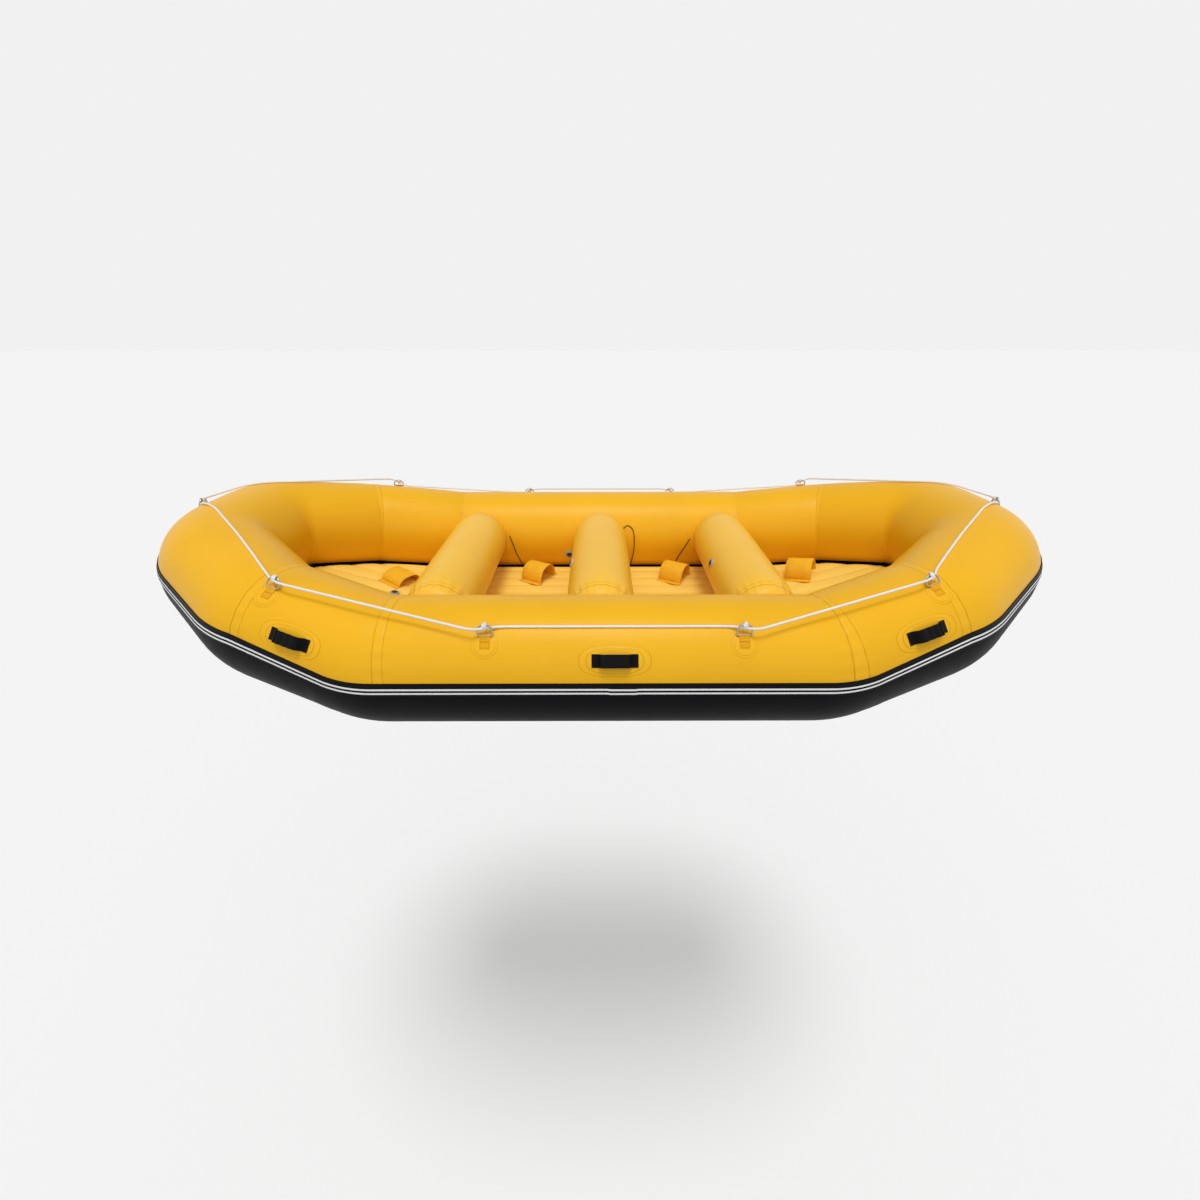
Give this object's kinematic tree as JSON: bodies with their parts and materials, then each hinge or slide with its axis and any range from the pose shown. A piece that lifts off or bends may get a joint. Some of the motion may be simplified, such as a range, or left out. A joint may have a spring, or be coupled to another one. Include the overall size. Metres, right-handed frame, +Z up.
{
  "type": "whitewater raft",
  "caption": "Inflatable paddle raft: hexagonal-ended ring of tubes with raised bow and stern, cross thwarts, laced-in floor, foot loops, grab rope and handles.",
  "frame": {"origin": "centre of the raft's plan, at the height of the ground it stands on", "axes": "+X to the bow, +Y to port, away from the picture's camera, +Z up"},
  "size_m": [4.2024, 2.0672, 0.7412],
  "materials": {
    "tube_fabric": "satin coated fabric",
    "thwart_fabric": "satin coated fabric",
    "floor_fabric": "satin coated fabric",
    "baffle_fabric": "coated fabric, hidden",
    "wear_fabric": "satin coated fabric",
    "strake_rubber": "satin",
    "loop_webbing": "matt coated webbing",
    "handle_webbing": "woven",
    "ring_steel": "polished",
    "cap_plastic": "satin",
    "rope_fibre": "braided",
    "tie_fibre": "braided"
  },
  "bodies": {
    "raft": {"baffle_port_bow": "baffle_fabric", "baffle_port_stern": "baffle_fabric", "baffle_starboard_bow": "baffle_fabric", "baffle_starboard_stern": "baffle_fabric", "bow_tube": "tube_fabric", "foot_loop_port_bow": "loop_webbing", "foot_loop_port_mid_bow": "loop_webbing", "foot_loop_port_mid_stern": "loop_webbing", "foot_loop_port_stern": "loop_webbing", "foot_loop_starboard_bow": "loop_webbing", "foot_loop_starboard_mid_bow": "loop_webbing", "foot_loop_starboard_mid_stern": "loop_webbing", "foot_loop_starboard_stern": "loop_webbing", "handle_port_bow": "handle_webbing", "handle_port_mid": "handle_webbing", "handle_port_stern": "handle_webbing", "handle_starboard_bow": "handle_webbing", "handle_starboard_mid": "handle_webbing", "handle_starboard_stern": "handle_webbing", "inflatable_floor": "floor_fabric", "rub_strake": "strake_rubber", "safety_rope": "rope_fibre", "shoulder_tube_port_bow": "tube_fabric", "shoulder_tube_port_stern": "tube_fabric", "shoulder_tube_starboard_bow": "tube_fabric", "shoulder_tube_starboard_stern": "tube_fabric", "side_tube_port": "tube_fabric", "side_tube_starboard": "tube_fabric", "stern_tube": "tube_fabric", "thwart_bow": "thwart_fabric", "thwart_middle": "thwart_fabric", "thwart_stern": "thwart_fabric", "tie_cord_bow": "tie_fibre", "tie_cord_middle": "tie_fibre", "tie_cord_stern": "tie_fibre", "wear_skin_bow": "wear_fabric", "wear_skin_port": "wear_fabric", "wear_skin_starboard": "wear_fabric", "wear_skin_stern": "wear_fabric"},
    "d_ring_bow": {"d_ring_bow": "ring_steel"},
    "d_ring_port_bow": {"d_ring_port_bow": "ring_steel"},
    "d_ring_port_mid_bow": {"d_ring_port_mid_bow": "ring_steel"},
    "d_ring_port_mid_stern": {"d_ring_port_mid_stern": "ring_steel"},
    "d_ring_port_stern": {"d_ring_port_stern": "ring_steel"},
    "d_ring_starboard_bow": {"d_ring_starboard_bow": "ring_steel"},
    "d_ring_starboard_mid_bow": {"d_ring_starboard_mid_bow": "ring_steel"},
    "d_ring_starboard_mid_stern": {"d_ring_starboard_mid_stern": "ring_steel"},
    "d_ring_starboard_stern": {"d_ring_starboard_stern": "ring_steel"},
    "d_ring_stern": {"d_ring_stern": "ring_steel"},
    "bow_valve_cap": {"bow_valve_cap": "cap_plastic"},
    "floor_valve_cap": {"floor_valve_cap": "cap_plastic"},
    "port_valve_cap": {"port_valve_cap": "cap_plastic"},
    "starboard_valve_cap": {"starboard_valve_cap": "cap_plastic"},
    "stern_valve_cap": {"stern_valve_cap": "cap_plastic"},
    "thwart_bow_valve_cap": {"thwart_bow_valve_cap": "cap_plastic"},
    "thwart_middle_valve_cap": {"thwart_middle_valve_cap": "cap_plastic"},
    "thwart_stern_valve_cap": {"thwart_stern_valve_cap": "cap_plastic"}
  },
  "joints": [
    {"name": "ring_bow_hinge", "type": "hinge", "parent": "raft", "child": "d_ring_bow", "pos_m": [2.02149, 0, 0.66702], "axis": [0, 1, 0], "range_deg": [-4, 8]},
    {"name": "ring_port_bow_hinge", "type": "hinge", "parent": "raft", "child": "d_ring_port_bow", "pos_m": [1.29562, 0.75188, 0.57752], "axis": [-0.9361, 0.3031, -0.1783], "range_deg": [-4, 8]},
    {"name": "ring_port_mid_bow_hinge", "type": "hinge", "parent": "raft", "child": "d_ring_port_mid_bow", "pos_m": [0.48, 0.93905, 0.4654], "axis": [-1, 0, 0], "range_deg": [-4, 8]},
    {"name": "ring_port_mid_stern_hinge", "type": "hinge", "parent": "raft", "child": "d_ring_port_mid_stern", "pos_m": [-0.48, 0.93905, 0.4654], "axis": [-1, 0, 0], "range_deg": [-4, 8]},
    {"name": "ring_port_stern_hinge", "type": "hinge", "parent": "raft", "child": "d_ring_port_stern", "pos_m": [-1.29562, 0.75188, 0.57752], "axis": [-0.9361, -0.3031, 0.1783], "range_deg": [-4, 8]},
    {"name": "ring_starboard_bow_hinge", "type": "hinge", "parent": "raft", "child": "d_ring_starboard_bow", "pos_m": [1.30686, -0.74824, 0.57966], "axis": [0.9361, 0.3031, 0.1783], "range_deg": [-4, 8]},
    {"name": "ring_starboard_mid_bow_hinge", "type": "hinge", "parent": "raft", "child": "d_ring_starboard_mid_bow", "pos_m": [0.53, -0.93905, 0.4654], "axis": [1, 0, 0], "range_deg": [-4, 8]},
    {"name": "ring_starboard_mid_stern_hinge", "type": "hinge", "parent": "raft", "child": "d_ring_starboard_mid_stern", "pos_m": [-0.43, -0.93905, 0.4654], "axis": [1, 0, 0], "range_deg": [-4, 8]},
    {"name": "ring_starboard_stern_hinge", "type": "hinge", "parent": "raft", "child": "d_ring_starboard_stern", "pos_m": [-1.28439, -0.75552, 0.57538], "axis": [0.9361, -0.3031, -0.1783], "range_deg": [-4, 8]},
    {"name": "ring_stern_hinge", "type": "hinge", "parent": "raft", "child": "d_ring_stern", "pos_m": [-2.02149, 0, 0.66702], "axis": [0, -1, 0], "range_deg": [-4, 8]},
    {"name": "bow_valve_quarter_turn", "type": "hinge", "parent": "raft", "child": "bow_valve_cap", "pos_m": [1.10298, -0.44627, 0.23682], "axis": [-0.2467, 0.9273, -0.2815], "range_deg": [0, 90]},
    {"name": "floor_valve_quarter_turn", "type": "hinge", "parent": "raft", "child": "floor_valve_cap", "pos_m": [-1.15, 0.03, 0.15962], "axis": [0.198, 0, 0.9802], "range_deg": [0, 90]},
    {"name": "port_valve_quarter_turn", "type": "hinge", "parent": "raft", "child": "port_valve_cap", "pos_m": [-0.195, 0.52101, 0.19286], "axis": [0, -0.9659, -0.2588], "range_deg": [0, 90]},
    {"name": "starboard_valve_quarter_turn", "type": "hinge", "parent": "raft", "child": "starboard_valve_cap", "pos_m": [-0.195, -0.52101, 0.19286], "axis": [0, 0.9659, -0.2588], "range_deg": [0, 90]},
    {"name": "stern_valve_quarter_turn", "type": "hinge", "parent": "raft", "child": "stern_valve_cap", "pos_m": [-1.10298, -0.44627, 0.23682], "axis": [0.2467, 0.9273, -0.2815], "range_deg": [0, 90]},
    {"name": "thwart_bow_valve_quarter_turn", "type": "hinge", "parent": "raft", "child": "thwart_bow_valve_cap", "pos_m": [0.5897, -0.04, 0.36883], "axis": [-0.9511, 0, 0.309], "range_deg": [0, 90]},
    {"name": "thwart_middle_valve_quarter_turn", "type": "hinge", "parent": "raft", "child": "thwart_middle_valve_cap", "pos_m": [-0.1503, -0.04, 0.36883], "axis": [-0.9511, 0, 0.309], "range_deg": [0, 90]},
    {"name": "thwart_stern_valve_quarter_turn", "type": "hinge", "parent": "raft", "child": "thwart_stern_valve_cap", "pos_m": [-0.8903, -0.04, 0.36883], "axis": [-0.9511, 0, 0.309], "range_deg": [0, 90]}
  ]
}
